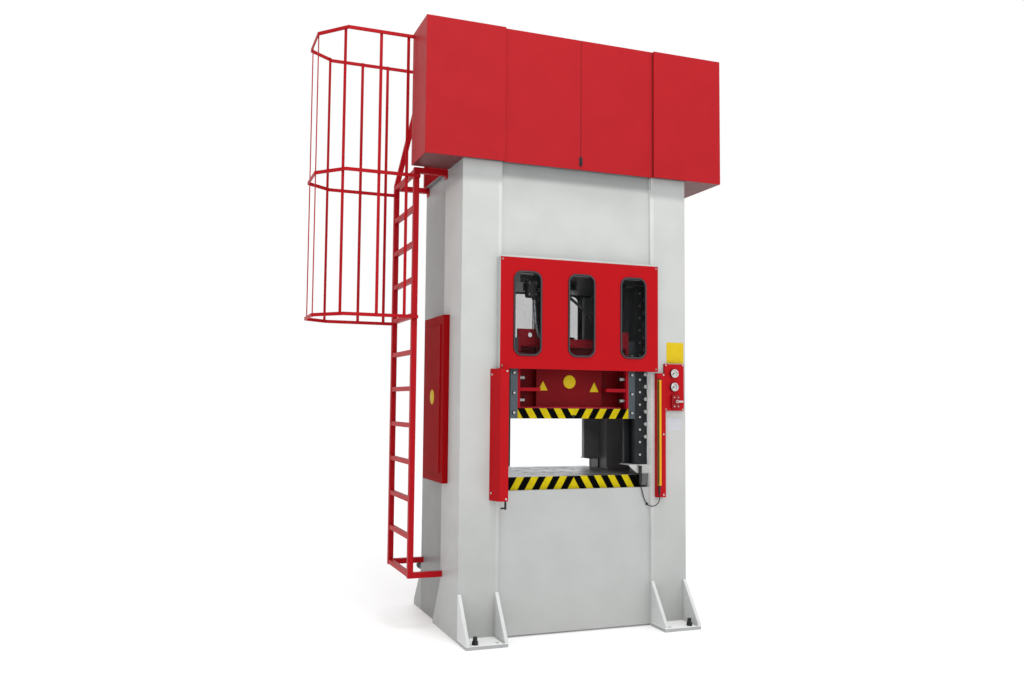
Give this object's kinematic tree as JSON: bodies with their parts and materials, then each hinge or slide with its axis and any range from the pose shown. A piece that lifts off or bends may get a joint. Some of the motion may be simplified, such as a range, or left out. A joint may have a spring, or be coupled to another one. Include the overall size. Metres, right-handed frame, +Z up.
{
  "type": "h-frame deep drawing press",
  "caption": "Hydraulic h-frame deep drawing press with guided slide, die cushion, T-slot bed, light curtains, windowed guards, service platform and caged ladder.",
  "frame": {"origin": "middle of the frame footprint, on the floor, at the centre of the four anchor holes", "axes": "+X to the right along the front, +Y to the back, +Z up"},
  "size_m": [3.097, 1.496, 4.4],
  "materials": {
    "frame_paint": "semi-gloss light grey machine enamel",
    "foot_paint": "semi-gloss off-white machine enamel",
    "red_paint": "gloss signal red powder coat",
    "ladder_paint": "gloss deep red powder coat",
    "slide_paint": "semi-gloss red machine enamel with black and yellow edge stripes",
    "deck_paint": "satin dark maroon paint",
    "valve_red": "gloss dark red paint",
    "tank_paint": "semi-gloss mid grey paint",
    "motor_paint": "semi-gloss blue-grey paint",
    "curtain_yellow": "satin yellow powder coat on an extruded profile",
    "ground_steel": "ground steel with a light oil film",
    "dark_steel": "oiled dark grey steel",
    "shoe_steel": "blue-grey ground steel",
    "bright_bolts": "zinc plated",
    "bright_pipe": "drawn steel tube",
    "zinc_sheet": "satin zinc plated sheet",
    "hard_chrome": "polished hard chrome",
    "cast_alloy": "as cast",
    "cast_iron": "painted casting",
    "tread_plate": "raised tread pattern",
    "black_oxide": "black oxide",
    "rubber": "matt extruded rubber",
    "clear_pane": "clear",
    "black_plastic": "moulded",
    "cable_black": "smooth cable sheath",
    "gauge_black": "moulded case with a white dial",
    "pointer_black": "matt black"
  },
  "bodies": {
    "frame": {"left_upright": "frame_paint", "right_upright": "frame_paint", "crown": "frame_paint", "bed": "frame_paint", "front_feet": "foot_paint", "rear_feet": "foot_paint", "levelling_bolts": "black_oxide", "bolster": "ground_steel", "front_gibs": "dark_steel", "rear_gibs": "dark_steel", "gib_bolts": "bright_bolts", "gib_brackets": "zinc_sheet", "main_cylinder": "dark_steel", "cylinder_gland": "dark_steel", "front_window_panel": "red_paint", "rear_window_panel": "red_paint", "window_seals": "rubber", "window_panes": "clear_pane", "head_left_panel": "red_paint", "head_mid_left_panel": "red_paint", "head_mid_right_panel": "red_paint", "head_right_panel": "red_paint", "head_rear_panel": "red_paint", "overhang_decks": "deck_paint", "platform_floor": "tread_plate", "oil_tank": "tank_paint", "filler_cap": "black_plastic", "motor": "motor_paint", "bell_housing": "cast_alloy", "pump": "cast_iron", "valve_block": "dark_steel", "oil_pipes": "bright_pipe", "ladder_rails": "ladder_paint", "ladder_rungs": "ladder_paint", "ladder_brackets": "ladder_paint", "ladder_handrail": "ladder_paint", "cage_hoops": "ladder_paint", "cage_bars": "ladder_paint", "left_curtain_cover": "red_paint", "left_light_curtain": "curtain_yellow", "right_curtain_channel": "red_paint", "right_light_curtain": "curtain_yellow", "curtain_plugs": "black_plastic", "curtain_cable": "cable_black", "cable_clip": "black_plastic", "gauge_panel": "red_paint", "gauge_cases": "gauge_black", "gauge_glasses": "clear_pane", "valve_body": "valve_red", "left_side_guard": "red_paint", "right_side_guard": "red_paint", "cushion_cylinder": "dark_steel"},
    "slide": {"slide": "slide_paint", "slide_shoes": "shoe_steel", "slide_bolts": "bright_bolts", "ram": "hard_chrome"},
    "cushion": {"cushion_plate": "ground_steel"},
    "valve_lever": {"valve_lever": "bright_bolts"},
    "upper_pointer": {"upper_pointer": "pointer_black"},
    "lower_pointer": {"lower_pointer": "pointer_black"}
  },
  "joints": [
    {"name": "slide_travel", "type": "slide", "parent": "frame", "child": "slide", "axis": [0, 0, 1], "range_m": [-0.2, 0.34]},
    {"name": "cushion_travel", "type": "slide", "parent": "frame", "child": "cushion", "axis": [0, 0, 1], "range_m": [0, 0.15]},
    {"name": "valve_turn", "type": "hinge", "parent": "frame", "child": "valve_lever", "pos_m": [0.801, -0.6, 1.679], "axis": [0, 1, 0], "range_deg": [0, 90]},
    {"name": "upper_pointer_turn", "type": "hinge", "parent": "frame", "child": "upper_pointer", "pos_m": [0.791, -0.57, 1.893], "axis": [0, 1, 0], "range_deg": [0, 270], "stiffness_Nm_per_rad": 0.001},
    {"name": "lower_pointer_turn", "type": "hinge", "parent": "frame", "child": "lower_pointer", "pos_m": [0.791, -0.57, 1.79], "axis": [0, 1, 0], "range_deg": [0, 270], "stiffness_Nm_per_rad": 0.001}
  ]
}
